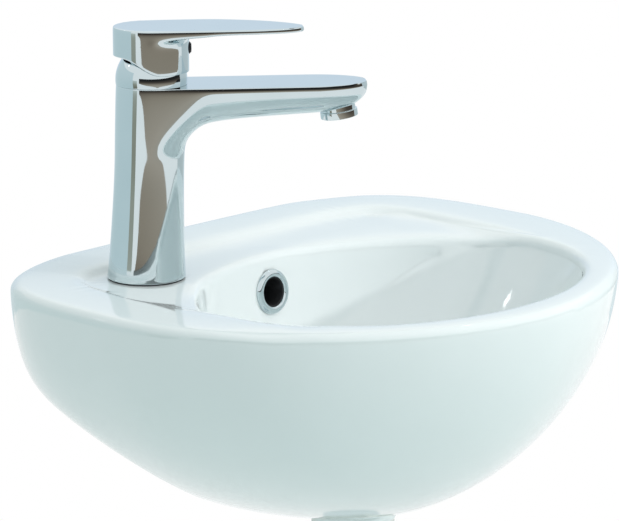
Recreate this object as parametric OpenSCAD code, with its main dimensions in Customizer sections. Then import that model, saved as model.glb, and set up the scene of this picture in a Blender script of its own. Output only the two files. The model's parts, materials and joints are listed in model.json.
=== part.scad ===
// Small wall-hung oval basin with a side-mounted single-lever mixer, an overflow ring and a waste.
// The origin is midway between the two wall fixing holes, on the wall plane.
// +X is to the right of someone facing the wall, +Y goes into the wall, +Z is up.

/* [Basin] */
// Overall width of the basin
basin_w = 400; // [380:1:440]
// How far the basin reaches out from the wall
basin_d = 330; // [315:1:360]
// Height from the lowest ceramic to the top of the rim
basin_h = 167; // [160:1:180]
// Height of the rim above the two wall fixings
rim_z = 45; // [40:1:50]
// Depth of the recessed tap ledge below the rim
ledge_drop = 4.7; // [3:0.1:7]
// Radius of the rounded outer edge of the rim
rim_r = 6.5; // [4:0.5:9]
// Wall thickness of the fired clay
clay_t = 11; // [9:0.5:13]
// Distance from the wall to the widest line of the outline
widest_y = 144; // [138:1:150]
// Height of the flat back that bears on the wall
back_h = 73.5; // [66:0.5:76]

/* [Bowl] */
// Width of the bowl opening
bowl_w = 282; // [260:1:290]
// Distance from the wall to the back edge of the bowl
bowl_back = 88; // [84:1:92]
// Width of the rim in front of the bowl
front_rim = 23; // [20:1:30]
// Depth of the bowl floor below the rim
bowl_h = 114; // [105:1:120]
// Height of the steep back wall that carries the overflow
back_wall_h = 47; // [44:1:56]
// Diameter of the waste hole
waste_hole_d = 46; // [44:0.5:48]
// Distance of the waste centre from the wall
waste_y = 165; // [160:1:172]
// Outside diameter of the waste flange
waste_flange_d = 64; // [60:1:66]
// How far the waste tail hangs below the basin
tail_h = 38; // [30:1:60]
// Width of the recessed ledge
ledge_w = 297; // [290:1:304]
// Distance from the wall to the back line of the recessed ledge
ledge_back = 49; // [46:0.5:49.5]
// Diameter of the overflow hole in the clay
overflow_d = 23; // [21:0.5:25]
// Depth of the overflow centre below the ledge
overflow_drop = 25; // [22:1:30]

/* [Fixings] */
// Distance between the two wall fixing holes
fixing_gap = 150; // [130:1:160]
// Diameter of each wall fixing hole
fixing_d = 14; // [12:0.5:16]
// Diameter of the tap hole
tap_hole_d = 35; // [33:0.5:36]
// Sideways distance of the tap hole from the middle
tap_x = 99; // [94:1:104]
// Distance of the tap hole from the wall
tap_y = 76; // [74:1:80]

/* [Mixer] */
// Height of the lever's flat top above the spout's flat top
lever_rise = 37; // [35:1:42]
// Diameter of the tap's foot
foot_d = 50; // [48:0.5:54]
// Height of the spout's flat top above the ledge
spout_z = 125; // [122:1:128]
// Distance from the foot's axis to the tip of the spout
spout_reach = 140.7; // [130:1:150]
// Width of the spout
spout_w = 45; // [42:0.5:46]
// Distance from the foot's axis to the aerator
aerator_reach = 122.5; // [114:1:126]
// Turn of the spout to the right of straight ahead
spout_turn = 49; // [30:1:60]
// How far the cartridge axis stands forward of the foot's axis
lean_x = 4.6; // [0:0.2:6]
// Distance from the cartridge axis to the tip of the lever
lever_reach = 96; // [85:1:105]
// Diameter of the handle's round skirt
handle_d = 48; // [46:0.5:50]
// Diameter of the cartridge
cartridge_d = 35; // [33:0.5:36]

/* [Movement] */
// How far the lever lifts from closed to full flow
lift_max = 25; // [15:1:28]
// How far the waste plug rises
plug_rise = 9; // [6:0.5:11]

/* [Hidden] */

china = [0.92, 0.94, 0.95];
chrome = [0.78, 0.80, 0.83];
brass = [0.80, 0.66, 0.35];
black_rubber = [0.12, 0.12, 0.13];
white_plastic = [0.90, 0.90, 0.88];
grey_plastic = [0.45, 0.47, 0.50];
ceramic_disc = [0.96, 0.94, 0.86];
steel = [0.62, 0.64, 0.66];

// Gap left between pieces that move past each other, and between pieces that only rest together
run_gap = 0.35;
seat_gap = 0.1;
smooth = 64;

ledge_z = rim_z - ledge_drop;
floor_z = rim_z - bowl_h;
base_z = rim_z - basin_h;

// Points round each level outline
around = 72;
// Sharpness of the outline, straight back and oval front
back_power = 3.67;
front_power = 1.85;

function bent(v, p) = sign(v) * pow(abs(v), p);

// Share of a size that is left at depth d of a bowl h deep
function swell(d, h, p, q) = pow(max(0.0001, 1 - pow(min(d, h) / h, p)), 1 / q);

// Distance of the sloping underside from the wall at depth d
under_slope = 2.08;
under_round = 6;
function under_y(d) =
    let (over = d - back_h)
    max(0, under_slope * (over + sqrt(over * over + under_round * under_round)) / 2 - 2);

// Level outline: half width a, widest line y0, front reach f, back reach b, cut at y = -cut
function outline(a, y0, f, b, cut, z) =
    [for (i = [0 : around - 1])
        let (t = 360 * i / around, c = cos(t), s = sin(t))
        s < 0 ? [a * bent(c, 2 / front_power), -y0 + f * bent(s, 2 / front_power), z]
              : [a * bent(c, 2 / back_power), min(-cut, -y0 + b * bent(s, 2 / back_power)), z]];

// Level outline of the outside at depth d below the rim, drawn in by t
widest_low = 119;
back_spare = 2.8;
function skin(d, t) =
    let (h = basin_h * 1.01,
         y0 = widest_y + (widest_low - widest_y) * pow(d / basin_h, 1.8),
         cut = min(under_y(d), widest_low - 1),
         a = basin_w / 2 * swell(d, h, 2.1, 1.73),
         f = (basin_d - widest_y) * swell(d, h, 2.05, 2.6))
    outline(a - t, y0, f - t, y0 - cut + back_spare - t, cut + t, rim_z - d);

// Faces between rings of k points each
function ring_faces(n, k) =
    [for (j = [0 : n - 2], i = [0 : k - 1])
        let (p = j * k + i, q = j * k + (i + 1) % k)
        each [[p, p + k, q], [q, p + k, q + k]]];

// Solid through a stack of rings, closed by a flat face at each end
module loft(rings) {
    n = len(rings);
    k = len(rings[0]);
    polyhedron(points = [for (r = rings) each r],
               faces = concat(ring_faces(n, k), [[for (i = [0 : k - 1]) i]],
                              [[for (i = [k - 1 : -1 : 0]) (n - 1) * k + i]]),
               convexity = 6);
}

// Solid through rings that come round to the first again
module ring_loft(rings) {
    n = len(rings);
    k = len(rings[0]);
    polyhedron(points = concat([for (r = rings) each r], rings[0]),
               faces = concat(ring_faces(n, k),
                   [for (i = [0 : k - 1])
                       let (p = (n - 1) * k + i, q = (n - 1) * k + (i + 1) % k)
                       each [[p, i, q], [q, i, (i + 1) % k]]]),
               convexity = 8);
}

skin_steps = 14;
bowl_steps = 8;
edge_steps = 4;
bowl_edge_r = 6;
// Band over which the ledge drops from the rim
step_w = 5.5;
bowl_mid = (bowl_back + basin_d - front_rim) / 2;
bowl_reach = (basin_d - front_rim - bowl_back) / 2;
waste_seat_r = waste_flange_d / 2 + 2;

// Part of the ledge drop at distance -y from the wall: all of it behind, none past the bowl's middle
ledge_fade = 38;
function drop_at(y) = let (v = min(1, max(0, (y + bowl_mid) / ledge_fade))) v * v * (3 - 2 * v);
function lip_z(s) = rim_z - ledge_drop * drop_at(bowl_reach * s - bowl_mid);

// Height of the steep bowl wall at a turn whose sine is s: tallest behind, least in front
wall_least = 1.5;
function wall_tall(s) =
    let (v = max(0, (s - 0.3) / 0.7))
    max(wall_least, back_wall_h * v * v * (3 - 2 * v) - bowl_edge_r);

// Line round the bowl opening grown by g and let down by h
function bowl_ring(g, h) =
    [for (i = [0 : around - 1])
        let (t = 360 * i / around, c = cos(t), s = sin(t))
        [(bowl_w / 2 + g) * c, -bowl_mid + (bowl_reach + g) * s, lip_z(s) - h]];

// Line of the step from rim to ledge: the bowl's own front, a squarer back
step_power = 8;
function step_ring(g, drop) =
    [for (i = [0 : around - 1])
        let (t = 360 * i / around, c = cos(t), s = sin(t),
             back = (bowl_mid - ledge_back) * bent(s, 2 / step_power))
        s < 0 ? [(ledge_w / 2 + g) * c, -bowl_mid + (bowl_reach + 5 + g) * s, rim_z]
              : [(ledge_w / 2 + g) * bent(c, 2 / step_power),
                 -bowl_mid + (bowl_mid - ledge_back + g) * bent(s, 2 / step_power),
                 rim_z - drop * drop_at(back - bowl_mid)]];

// Line on the steep bowl wall at share k of its height, grown outward by g
wall_lean = 0.11;
function wall_ring(k, g) =
    [for (i = [0 : around - 1])
        let (t = 360 * i / around, c = cos(t), s = sin(t),
             h = k * wall_tall(s),
             out = g - bowl_edge_r * 0.3 - wall_lean * h)
        [(bowl_w / 2 + out) * c, -bowl_mid + (bowl_reach + out) * s,
         lip_z(s) - bowl_edge_r - h]];

// Line on the bowl floor at share u of the way from the waste to the foot of the wall
function floor_ring(u, g) =
    let (top = wall_ring(1, g))
    [for (i = [0 : around - 1])
        let (t = 360 * i / around,
             x0 = waste_seat_r * cos(t),
             y0 = -waste_y + waste_seat_r * sin(t),
             z0 = floor_z - g)
        [x0 + (top[i].x - x0) * u, y0 + (top[i].y - y0) * u, z0 + (top[i].z - z0) * pow(u, 2.1)]];

// Clay skin in one piece: up the outside, over the rim and ledge, down to the waste
module clay() {
    wall = [for (j = [skin_steps : -1 : 0])
        let (d = rim_r + (basin_h - rim_r) * sin(90 * j / skin_steps)) skin(d, 0)];
    edge = [for (j = [edge_steps - 1 : -1 : 0])
        let (w = 90 * j / edge_steps) skin(rim_r * (1 - cos(w)), rim_r * (1 - sin(w)))];
    ledge = [for (q = [[1.15, 0], [0.8, 0.2], [0.2, 0.8], [-0.08, 1]])
        step_ring(step_w * q.x, ledge_drop * q.y)];
    lip = [for (j = [0 : edge_steps])
        let (w = 90 * j / edge_steps)
        bowl_ring(bowl_edge_r * (0.7 - sin(w)), bowl_edge_r * (1 - cos(w)))];
    well = [for (k = [0.5, 1]) wall_ring(k, 0)];
    dish = [for (j = [bowl_steps - 1 : -1 : 0]) floor_ring(j / bowl_steps, 0)];
    loft(concat(wall, edge, ledge, lip, well, dish));
}

// Hollow between the outside and the bowl, kept below the rim and shallower in front
slab_t = ledge_drop + clay_t;
hollow_low = basin_h - 30;
boss_r = waste_hole_d / 2 + 7;
module hollow() difference() {
    outer_side = [for (d = [hollow_low, 124, 105, 80, 45, slab_t]) skin(d, clay_t)];
    top = [for (p = wall_ring(0, clay_t)) [p.x, p.y, rim_z - slab_t]];
    crease = [for (p = wall_ring(1, clay_t)) [p.x, p.y, min(p.z, rim_z - slab_t - 4)]];
    floor_side = [for (u = [0.7, 0.4, 0.12]) floor_ring(u, clay_t)];
    back_edge = skin(hollow_low, clay_t)[around / 4].y - 3;
    foot = [for (i = [0 : around - 1]) let (t = 360 * i / around)
        [boss_r * cos(t), min(back_edge, -waste_y + boss_r * sin(t)), rim_z - hollow_low]];
    ring_loft(concat(outer_side, [top], [crease], floor_side, [foot]));
    rotate([90, 0, 90]) linear_extrude(basin_w, center = true)
        polygon([[-basin_d, rim_z - 75], [-bowl_back - 20, rim_z - slab_t],
                 [-bowl_back - 20, rim_z + 5], [-basin_d, rim_z + 5]]);
}

// Opening under the back, for reaching the wall fixings and the tap's clamp
module under_opening() translate([0, 0, base_z - 1]) linear_extrude(rim_z - slab_t - base_z - 20)
    difference() {
        translate([-125, -112]) square([250, 112 - clay_t - 7]);
        translate([0, -bowl_mid]) scale([bowl_w / 2 + clay_t + 5, bowl_reach + clay_t + 5])
            circle(1, $fn = 96);
    }

// Overflow duct: a clay channel down the back of the bowl, from the overflow to the waste
overflow_z = ledge_z - overflow_drop;
overflow_y = bowl_back + bowl_edge_r * 0.3 + wall_lean * (overflow_drop - bowl_edge_r);
duct_wall = 7;
duct_deep = 13;
duct_wide = 28;
duct_under = 9;
module behind_bowl(near, far, top) {
    line = [for (u = [0.12, 0.4, 0.7]) floor_ring(u, clay_t)[around / 4],
            wall_ring(1, clay_t)[around / 4], wall_ring(0, clay_t)[around / 4]];
    side = [for (p = line) [p.y, p.z]];
    bowl_room = concat(side, [[side[4].x, rim_z + duct_wide], [-waste_y, rim_z + duct_wide],
                              [-waste_y, side[0].y]]);
    intersection() {
        difference() {
            offset(delta = far) polygon(bowl_room);
            offset(delta = near) polygon(bowl_room);
        }
        translate([-waste_y + waste_hole_d / 2 - 1, base_z]) square([waste_y, top - base_z]);
    }
}
// Side view of the room inside the underside, kept t away from it
module room_above_underside(t) polygon(concat(
    [for (d = [basin_h, 138, 131, 124, 117, 110, 100, 85, back_h, slab_t - 3])
        [-min(under_y(d), widest_low - 1) - t, rim_z - d]],
    [[-waste_y, rim_z - slab_t + 3], [-waste_y, base_z]]));
module duct_shell() rotate([90, 0, 90])
    linear_extrude(duct_wide + 2 * duct_wall, center = true) intersection() {
        behind_bowl(-3, duct_deep + duct_wall, overflow_z + 12 + duct_wall);
        room_above_underside(1);
    }
module duct_passage() rotate([90, 0, 90])
    linear_extrude(duct_wide, center = true) intersection() {
        behind_bowl(0, duct_deep, overflow_z + 12);
        room_above_underside(duct_under);
    }

module basin() color(china) difference() {
    union() {
        difference() {
            clay();
            hollow();
            under_opening();
        }
        duct_shell();
        translate([0, -waste_y, base_z]) cylinder(r = boss_r - 2, h = 20, $fn = smooth);
    }
    duct_passage();
    // Waste hole and the seat for its flange
    translate([0, -waste_y, base_z - 1])
        cylinder(d = waste_hole_d, h = bowl_h + 20, $fn = smooth);
    translate([0, -waste_y, floor_z - 2])
        cylinder(r = waste_flange_d / 2 + 1, h = 12, $fn = smooth);
    // Tap hole through the ledge
    translate([-tap_x, -tap_y, ledge_z - slab_t - 4])
        cylinder(d = tap_hole_d, h = slab_t + 8, $fn = smooth);
    // Overflow hole
    on_overflow() translate([0, 0, -clay_t - 6]) cylinder(d = overflow_d, h = clay_t + 12, $fn = smooth);
    // Wall fixing holes
    for (side = [-1, 1]) translate([side * fixing_gap / 2, 1, 0]) rotate([90, 0, 0])
        cylinder(d = fixing_d, h = clay_t + 6, $fn = smooth);
}

// Frame of the overflow: Z points out of the bowl wall. The flat ring bridges the curved wall,
// so it stands off the wall's middle by the depth of the curve over the ring's width.
ring_flange_r = 15;
ring_bore_r = 9.2;
back_curve_r = bowl_w * bowl_w / 4 / bowl_reach;
curve_depth = back_curve_r - sqrt(back_curve_r * back_curve_r - ring_flange_r * ring_flange_r);
module on_overflow() translate([0, -overflow_y - curve_depth - seat_gap, overflow_z])
    rotate([90 - atan(wall_lean), 0, 0]) children();

// Frame of the tap: origin at the foot on the ledge, X along the spout
module on_tap() translate([-tap_x, -tap_y, ledge_z]) rotate([0, 0, spout_turn - 90]) children();

// Frame of the cartridge: origin on its axis at the lever's pivot height
pivot_rise = 3;
pivot_z = spout_z + pivot_rise;
module on_cartridge() on_tap() translate([lean_x, 0, pivot_z]) children();

// Tube round Z from z0 to z1
module tube(r_out, r_in, z0, z1) translate([0, 0, z0]) difference() {
    cylinder(r = r_out, h = z1 - z0, $fn = smooth);
    if (r_in > 0) translate([0, 0, -1]) cylinder(r = r_in, h = z1 - z0 + 2, $fn = smooth);
}

module overflow_ring() color(chrome) on_overflow() rotate_extrude($fn = smooth) polygon(concat(
    [[ring_bore_r, -clay_t - 4], [ring_bore_r + 1.2, -clay_t - 4], [ring_bore_r + 1.2, seat_gap],
     [ring_flange_r, seat_gap]],
    [for (w = [0 : 15 : 90]) [ring_flange_r - 2.6 * (1 - cos(w)), seat_gap + 0.4 + 2.2 * sin(w)]],
    [[ring_bore_r + 1.4, 2.2], [ring_bore_r, 0.6]]));

// Tap body: a waisted column that leans to the cartridge axis, with a flat-topped spout
foot_r = foot_d / 2;
foot_gap = 1.6;
waist_r = foot_r - 3;
crown_r = spout_w / 2;
waist_z = spout_z * 0.7;
function column_r(z) =
    z < waist_z ? waist_r + 3 * pow(1 - z / waist_z, 2)
                : waist_r + (crown_r - waist_r) * pow((z - waist_z) / (spout_z - waist_z), 0.7);
function column_ring(z, inset) =
    [for (i = [0 : 47]) let (t = 7.5 * i, r = column_r(z) - inset)
        [lean_x * z / spout_z + r * cos(t), r * sin(t), z]];

// Cross-section of a flat-topped bar: half width w, depth h, top at z, standing at x
bar_points = 16;
function bar_section(x, w, h, z, power) = concat(
    [for (i = [0 : bar_points]) let (t = 180 * i / bar_points)
        [x, -w * bent(cos(t), 2 / power), z - 1 - (h - 1) * bent(sin(t), 2 / power)]],
    [[x, w - 0.8, z], [x, -w + 0.8, z]]);

// Spout underside: swept up out of the column, then nearly level, then up to the tip
spout_bend_x = crown_r + lean_x - 1;
function spout_depth(x) =
    let (level = 22.6 - 0.05 * (x - 46),
         swoop = 7.4 * exp(-max(0, x - spout_bend_x) / 12),
         start = spout_reach - 22.7,
         v = min(1, max(0, (x - start) / (spout_reach - start))))
    (level + swoop) * pow(max(0.015, 1 - pow(v, 3)), 1 / 2.2);
function spout_half(x) =
    let (start = spout_reach - 36, v = min(1, max(0, (x - start) / 36)))
    crown_r * pow(max(0.03, 1 - pow(v, 2.4)), 1 / 2.1);

aerator_tilt = 8;
socket_r = 11;
module on_aerator() on_tap() translate([aerator_reach, 0, spout_z - 16]) rotate([0, -aerator_tilt, 0])
    children();

bore_r = cartridge_d / 2 + 0.15;
bore_z = spout_z - 34;
thread_r = 19.6;
module tap_body() color(chrome) difference() {
    on_tap() union() {
        loft(concat([for (z = [foot_gap, foot_gap + 12, 27, 41, 56, 70, waist_z, 98, 109, spout_z - 1.1])
                     column_ring(z, 0)], [column_ring(spout_z, 0.8)]));
        loft([for (x = concat([for (d = [-22.5, -11, -5, -2, 1, 4, 8, 14, 23, 38]) lean_x + crown_r + d],
                              [for (d = [56, 37, 31, 25, 20, 15, 11, 7.2, 4.2, 2, 0.7, 0]) spout_reach - d]))
              bar_section(x, spout_half(x), spout_depth(x), spout_z, 2.5)]);
    }
    // Cartridge chamber and the thread of its nut
    on_tap() translate([lean_x, 0, 0]) {
        tube(bore_r, 0, bore_z, spout_z + 1);
        tube(thread_r, 0, spout_z - 8, spout_z + 1);
    }
    // Hollow spout and the aerator's socket
    on_tap() translate([lean_x, -spout_hollow / 2, spout_z - 16.5])
        cube([aerator_reach + 5 - lean_x, spout_hollow, 8]);
    on_aerator() translate([0, 0, -12]) cylinder(r = socket_r, h = 14, $fn = smooth);
    // Hollow column, round a pipe for each supply
    on_tap() difference() {
        translate([1.5, 0, 0]) tube(waist_r - 4, 0, column_floor, bore_z - 4);
        at_inlets() tube(supply_r + 1.8, 0, 0, bore_z);
    }
    // Foot: two hose inlets, the hole of the mounting stud and a core hole
    on_tap() {
        at_inlets() tube(inlet_r, 0, -1, 20);
        at_inlets() tube(supply_r, 0, 10, bore_z + 1);
        translate([stud_x, 0, 0]) tube(stud_r + 0.1, 0, -1, 16);
        translate([14, 0, 0]) tube(2.5, 0, 0, column_floor + 1);
        tube(foot_r - 5, 0, 0, foot_gap + 2);
    }
}
spout_hollow = 28;
column_floor = 24;
inlet_gap = 14.4;
inlet_r = 4.6;
supply_r = 4;
stud_x = -9;
stud_r = 3.9;
module at_inlets() for (side = [-1, 1]) translate([3, side * inlet_gap / 2, 0]) children();

module tap_foot_gasket() color(black_rubber) on_tap()
    tube(foot_r - 0.6, foot_r - 4.6, seat_gap, foot_gap - 0.05);

// Cartridge, from its foot up to the rotor that the lever turns
house_r = cartridge_d / 2;
house_floor = bore_z + 1.2;
house_top = spout_z - 2.5;
house_in_r = house_r - 2;
neck_r = 13;
neck_top = pivot_z + 4;
port_r = 2.6;
port_at = 6.5;
module ports() for (i = [0 : 2]) rotate([0, 0, 120 * i]) translate([port_at, 0, 0]) children();
module cartridge_housing() color(white_plastic) on_tap() translate([lean_x, 0, 0]) difference() {
    union() {
        tube(house_r, 0, house_floor, house_top);
        tube(neck_r, 0, house_top - 1, neck_top);
    }
    tube(house_in_r, 0, house_floor + 2.4, house_top - 3);
    tube(rotor_r + run_gap, 0, house_top - 4, neck_top + 1);
    ports() tube(port_r, 0, house_floor - 1, house_floor + 3);
}
rotor_r = 10.6;
module cartridge_foot_seal() color(black_rubber) on_tap() translate([lean_x, 0, 0]) difference() {
    tube(house_r - 3, 0, bore_z + seat_gap, house_floor - 0.05);
    ports() tube(port_r, 0, bore_z, house_floor + 1);
}

disc_t = 3.4;
disc_z = house_floor + 2.4;
module fixed_disc() color(ceramic_disc) on_tap() translate([lean_x, 0, 0]) difference() {
    tube(house_in_r - 0.2, 0, disc_z, disc_z + disc_t);
    ports() tube(port_r, 0, disc_z - 1, disc_z + disc_t + 1);
}

// The moving disc and its carrier start back from the axis and slide forward as the lever lifts
arm = 20;
slide = arm * lift_max * PI / 180;
disc_r = 10.5;
module at_slide() on_tap() translate([lean_x - slide / 2, 0, disc_z + disc_t]) children();
module moving_disc() color(ceramic_disc) at_slide() difference() {
    tube(disc_r, 0, 0, disc_t);
    translate([-4.5, -2, -1]) cube([9, 4, 2.4]);
}
carrier_h = 8.4;
ball_r = 3;
module disc_carrier() color(grey_plastic) at_slide() difference() {
    tube(disc_r, 0, disc_t, disc_t + carrier_h);
    // Pocket of the spindle's ball, open backward for the tongue above it
    hull() for (dx = [-0.9, 0.1]) translate([slide / 2 + dx, 0, disc_t + 1])
        cylinder(r = ball_r + run_gap, h = carrier_h, $fn = 24);
}

spindle_half = 4.5;
module cartridge_rotor() color(grey_plastic) on_tap() translate([lean_x, 0, 0]) difference() {
    union() {
        tube(rotor_r, 0, house_top - 3.4, neck_top - 0.4);
        tube(house_in_r - run_gap, 0, house_top - 7, house_top - 3.4);
    }
    translate([-rotor_r + 0.6, -spindle_half - run_gap, house_top - 8])
        cube([2 * rotor_r - 1.2, 2 * spindle_half + 2 * run_gap, neck_top]);
    translate([0, 0, pivot_z]) rotate([90, 0, 0]) cylinder(r = pin_r, h = 30, center = true, $fn = 32);
}
pin_r = 1.6;
module spindle_pin() color(steel) on_cartridge() rotate([90, 0, 0])
    cylinder(r = pin_r - 0.05, h = 2 * rotor_r - 1.6, center = true, $fn = 32);

// Square spindle with a round tongue below that drives the disc carrier
spindle_top = lever_rise - pivot_rise - 6;
module lever_spindle() color(brass) on_cartridge() difference() {
    union() {
        translate([-4, -spindle_half, -4]) cube([8, 2 * spindle_half, spindle_top + 4]);
        translate([0, 0, -arm]) cylinder(r = 2.4, h = arm, $fn = 32);
        translate([0, 0, -arm]) sphere(r = ball_r, $fn = 32);
    }
    rotate([90, 0, 0]) cylinder(r = pin_r + 0.1, h = 30, center = true, $fn = 32);
}

// Brass nut that holds the cartridge down
module cartridge_nut() color(brass) on_tap() translate([lean_x, 0, 0]) difference() {
    union() {
        tube(thread_r - 0.1, 0, house_top + 0.05, spout_z - 0.2);
        tube(17.2, 0, spout_z - 0.3, spout_z + 4.5);
    }
    tube(neck_r + 0.3, 0, house_top - 1, spout_z + 10);
    for (w = [0 : 60 : 359]) rotate([0, 0, w]) translate([15.4, -2.5, spout_z + 1]) cube([3, 5, 12]);
}

// Dome that hides the nut: part of a ball round the lever's pivot
dome_r = sqrt(pow(crown_r - 0.1, 2) + pow(pivot_rise, 2));
dome_t = 1.6;
dome_hole_r = 15;
dome_top = sqrt(dome_r * dome_r - dome_hole_r * dome_hole_r);
module dome_cap() color(chrome) on_cartridge() rotate_extrude($fn = smooth) difference() {
    circle(r = dome_r, $fn = smooth);
    circle(r = dome_r - dome_t, $fn = smooth);
    translate([-50, -50]) square([50, 100]);
    translate([-1, -50]) square([60, 50 - pivot_rise + seat_gap]);
    translate([-1, -50]) square([dome_hole_r + 1, 100]);
}

// Lever: flat racket-shaped top, round skirt with a slanting lower edge
skirt_r = handle_d / 2;
skirt_tall = 29;
skirt_slant = 10;
top_z = lever_rise - pivot_rise;
skirt_front = top_z - skirt_tall;
skirt_back = skirt_front + skirt_slant;
lever_thin = 1.6;
lever_root_half = skirt_r - 1;
lever_end_half = 15;
lever_round = 36.5;
function lever_half(x) =
    let (v = min(1, max(0, (x - lever_reach + lever_round) / lever_round)))
    (lever_root_half - (lever_root_half - lever_end_half) * pow(x / lever_reach, 1.6))
    * pow(max(0.02, 1 - pow(v, 2.6)), 1 / 2);
function lever_depth(x) = lever_thin + 2.4 * (1 - x / lever_reach) + 8.8 * exp(-max(0, x - skirt_r + 2) / 10);
module lever_handle() color(chrome) on_cartridge() difference() {
    union() {
        rotate_extrude($fn = 96) polygon(concat([[0, -6], [skirt_r, -6]],
            [for (w = [0 : 15 : 90]) [skirt_r - 1.4 + 1.4 * cos(w), top_z - 1.4 + 1.4 * sin(w)]],
            [[0, top_z]]));
        loft([for (x = concat([for (d = [-22, -12, -4, 0, 3, 7, 12, 19]) skirt_r + d],
                              [for (d = [44, 36, 28, 21, 15, 10, 6, 3, 1, 0]) lever_reach - d]))
              bar_section(x, lever_half(x), lever_depth(x), top_z, 2.2)]);
    }
    // Slanting lower edge, ball-shaped hollow over the dome, square socket of the spindle
    translate([0, 0, (skirt_front + skirt_back) / 2]) rotate([0, atan(skirt_slant / handle_d), 0])
        translate([-60, -60, -60]) cube([120, 120, 60]);
    sphere(r = dome_r + 0.8, $fn = smooth);
    translate([-4.2, -spindle_half - 0.2, 0]) cube([8.4, 2 * spindle_half + 0.4, spindle_top + 0.4]);
    // Threaded hole of the grub screw, with the plug's counterbore
    translate([0, 0, grub_z]) rotate([0, 90, 0]) cylinder(r = grub_r, h = 40, $fn = 32);
    translate([skirt_r - 4, 0, grub_z]) rotate([0, 90, 0]) cylinder(r = plug_r, h = 8, $fn = 32);
}
grub_r = 2;
grub_z = dome_top + grub_r + 0.6;
plug_r = 3.6;
module handle_grub_screw() color(steel) on_cartridge() difference() {
    translate([4.05, 0, grub_z]) rotate([0, 90, 0]) cylinder(r = grub_r - 0.05, h = 14, $fn = 32);
    translate([15, 0, grub_z]) rotate([0, 90, 0]) cylinder(r = 1.1, h = 5, $fn = 6);
}
module handle_plug() color(black_rubber) on_cartridge() translate([skirt_r - 3.9, 0, grub_z])
    rotate([0, 90, 0]) {
        cylinder(r = plug_r - 0.05, h = 3.9, $fn = 32);
        translate([0, 0, 3.9]) cylinder(r1 = plug_r + 0.4, r2 = plug_r - 0.8, h = 1.2, $fn = 32);
    }

// Aerator: threaded housing with two spanner flats, a finned insert and its seal
nose_r = 11.9;
module aerator_housing() color(chrome) on_aerator() difference() {
    union() {
        tube(socket_r - 0.1, 0, -3, 0.5);
        intersection() {
            tube(nose_r, 0, -7.4, -3);
            for (w = [0, 60, 120]) rotate([0, 0, w]) cube([2 * nose_r, 2 * nose_r - 1.8, 30], center = true);
        }
    }
    tube(9, 0, -8, -1.2);
    tube(7, 0, -2, 1);
}
module aerator_insert() color(grey_plastic) on_aerator() difference() {
    tube(8.9, 0, -6.4, -1.3);
    for (i = [-3 : 3], j = [-3 : 3]) if (i * i + j * j < 11) translate([2.2 * i - 0.75, 2.2 * j - 0.75, -7])
        cube([1.5, 1.5, 3.4]);
}
module aerator_seal() color(black_rubber) on_aerator() tube(socket_r - 0.2, 7.2, 0.55, 1.9);

// Mounting set under the ledge: stud, rubber and steel horseshoe plates, nut
under_ledge = ledge_z - (rim_z - slab_t);
stud_hang = 34;
stud_len = under_ledge + stud_hang;
clamp_r = 22;
hose_way = 25;
module mounting_stud() color(steel) on_tap() translate([stud_x, 0, 0]) tube(stud_r, 0, -stud_len, 15);
module horseshoe(t) difference() {
    cylinder(r = clamp_r, h = t, $fn = smooth);
    translate([stud_x + stud_r + 1.1, -hose_way / 2, -1]) cube([2 * clamp_r, hose_way, t + 2]);
    translate([stud_x, 0, -1]) cylinder(r = stud_r + 0.4, h = t + 2, $fn = 32);
}
rubber_t = 2.5;
plate_t = 2;
module clamp_rubber() color(black_rubber) on_tap() translate([0, 0, -under_ledge - rubber_t - seat_gap])
    horseshoe(rubber_t);
module clamp_plate() color(steel) on_tap()
    translate([0, 0, -under_ledge - rubber_t - plate_t - 2 * seat_gap]) horseshoe(plate_t);
nut_h = 8;
module stud_nut() color(brass) on_tap()
    translate([stud_x, 0, -under_ledge - rubber_t - plate_t - nut_h - 3 * seat_gap]) difference() {
        cylinder(r = 7.5, h = nut_h, $fn = 6);
        translate([0, 0, -1]) cylinder(r = stud_r + 0.05, h = nut_h + 2, $fn = 32);
    }

// Waste: a flanged slotted tube clamped through the clay, with a push-push plug
module on_waste() translate([0, -waste_y, 0]) children();
waste_r = 21.5;
tail_r = 20.9;
waste_bore_r = 17.5;
waste_low = base_z - tail_h;
flange_r = waste_flange_d / 2;
flange_z = floor_z - 2;
module waste_body() color(chrome) on_waste() difference() {
    union() {
        rotate_extrude($fn = smooth) polygon([[waste_bore_r, flange_z - 1], [waste_r, flange_z + seal_t],
            [flange_r - 1, flange_z + seal_t], [flange_r, flange_z + seal_t + 1.2],
            [flange_r - 3, flange_z + seal_t + 2.4], [waste_bore_r + 3, flange_z + seal_t + 1.2],
            [waste_bore_r, flange_z + seal_t - 1]]);
        tube(waste_r, waste_bore_r, tail_top + tail_relief, flange_z + seal_t);
        tube(tail_r - 0.5, waste_bore_r, waste_low + 1, tail_top + tail_relief + 1);
        tube(tail_r, waste_bore_r, waste_low, tail_top);
        // Spider that guides the plug's stem
        tube(5.4, 0, spider_z, spider_z + 14);
        for (w = [0, 120, 240]) rotate([0, 0, w]) translate([4, -1.25, spider_z])
            cube([waste_bore_r - 3.5, 2.5, 6]);
    }
    tube(stem_r + run_gap, 0, spider_z + 2, spider_z + 15);
    // Overflow slots
    for (w = [0, 90, 180, 270]) rotate([0, 0, w]) translate([waste_bore_r - 2, -7, slot_z])
        cube([8, 14, 12]);
}
seal_t = 2;
stem_r = 3;
spider_z = floor_z - 34;
slot_z = floor_z - clay_t - 14;
module waste_top_seal() color(black_rubber) on_waste()
    tube(flange_r - 1.5, waste_r + 0.2, flange_z + 0.05, flange_z + seal_t - 0.05);
bottom_seal_t = 4;
module waste_bottom_seal() color(white_plastic) on_waste()
    tube(boss_r - 3, waste_r + 0.1, base_z - seat_gap - bottom_seal_t, base_z - seat_gap);
backnut_h = 9;
backnut_top = base_z - bottom_seal_t - 2 * seat_gap;
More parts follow.
